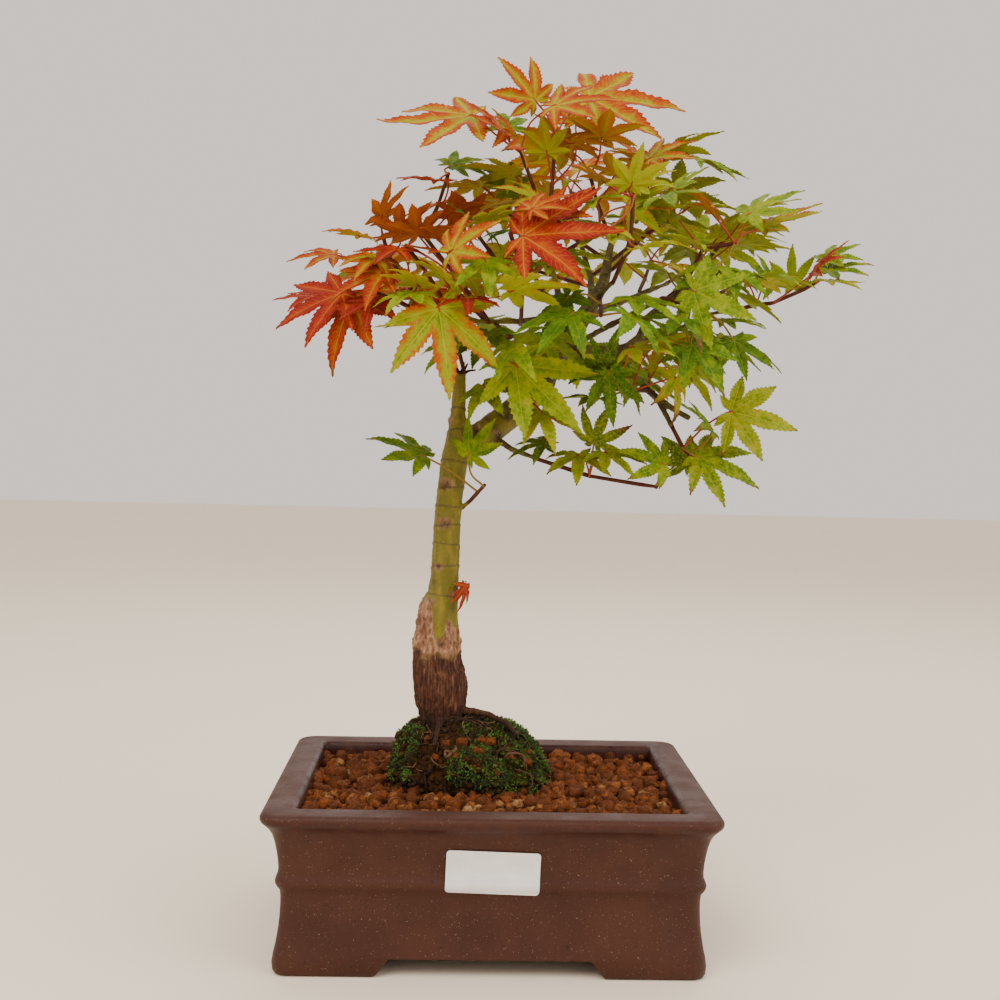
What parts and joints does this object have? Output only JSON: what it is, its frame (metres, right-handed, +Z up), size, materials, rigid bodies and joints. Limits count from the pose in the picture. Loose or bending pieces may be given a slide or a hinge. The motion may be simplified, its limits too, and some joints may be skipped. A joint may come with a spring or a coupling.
{
  "type": "potted maple bonsai",
  "caption": "Japanese maple bonsai with a green trunk and a broad autumn crown, rooted in a mossy ball among clay granules in a footed rectangular stoneware pot.",
  "frame": {"origin": "bottom centre of the bounding box, on the surface that the pot's feet stand on", "axes": "+Z up, +X to the right along the pot's long side, +Y from the front towards the back"},
  "size_m": [0.2566, 0.196, 0.3701],
  "materials": {
    "stoneware": "satin",
    "sticker": "matte",
    "drain_plastic": "matte",
    "wire": "satin",
    "granules": "matte",
    "root_soil": "matte",
    "moss": "matte",
    "bark": "matte",
    "leaf_green": "satin",
    "leaf_yellow_green": "satin",
    "leaf_orange": "satin",
    "leaf_red": "satin"
  },
  "bodies": {
    "root": {"drain_mesh_1": "drain_plastic", "drain_mesh_2": "drain_plastic", "drain_wire_1": "wire", "drain_wire_2": "wire", "leaves_centre_front": "leaf_orange", "leaves_centre_left": "leaf_yellow_green", "leaves_centre_up": "leaf_yellow_green", "leaves_far_right": "leaf_yellow_green", "leaves_inner_back": "leaf_yellow_green", "leaves_inner_back_crown": "leaf_yellow_green", "leaves_inner_back_left": "leaf_orange", "leaves_inner_back_low": "leaf_green", "leaves_inner_back_right": "leaf_green", "leaves_inner_back_top": "leaf_orange", "leaves_inner_centre": "leaf_yellow_green", "leaves_inner_crown": "leaf_orange", "leaves_inner_crown_left": "leaf_yellow_green", "leaves_inner_far_back": "leaf_yellow_green", "leaves_inner_front": "leaf_green", "leaves_inner_front_left": "leaf_green", "leaves_inner_left": "leaf_yellow_green", "leaves_inner_left_back": "leaf_orange", "leaves_inner_left_top": "leaf_orange", "leaves_inner_low_back": "leaf_green", "leaves_inner_low_middle": "leaf_green", "leaves_inner_low_right": "leaf_green", "leaves_inner_middle": "leaf_yellow_green", "leaves_inner_middle_right": "leaf_yellow_green", "leaves_inner_right": "leaf_green", "leaves_inner_right_front": "leaf_green", "leaves_inner_right_top": "leaf_yellow_green", "leaves_inner_top": "leaf_orange", "leaves_inner_top_right": "leaf_yellow_green", "leaves_left_fan": "leaf_orange", "leaves_left_front": "leaf_orange", "leaves_left_low": "leaf_red", "leaves_low_front": "leaf_yellow_green", "leaves_low_stem": "leaf_green", "leaves_mid_star": "leaf_green", "leaves_right_low": "leaf_green", "leaves_right_mid": "leaf_yellow_green", "leaves_top_left": "leaf_orange", "leaves_top_right": "leaf_orange", "leaves_trunk_shoot": "leaf_green", "leaves_upper_left": "leaf_orange", "leaves_upper_left_fan": "leaf_yellow_green", "leaves_upper_right": "leaf_yellow_green", "leaves_upper_right_back": "leaf_yellow_green", "moss_back": "moss", "moss_front": "moss", "moss_left": "moss", "moss_right": "moss", "pot": "stoneware", "pot_sticker": "sticker", "root_ball": "root_soil", "soil": "granules", "trunk_and_branches": "bark"}
  },
  "joints": []
}
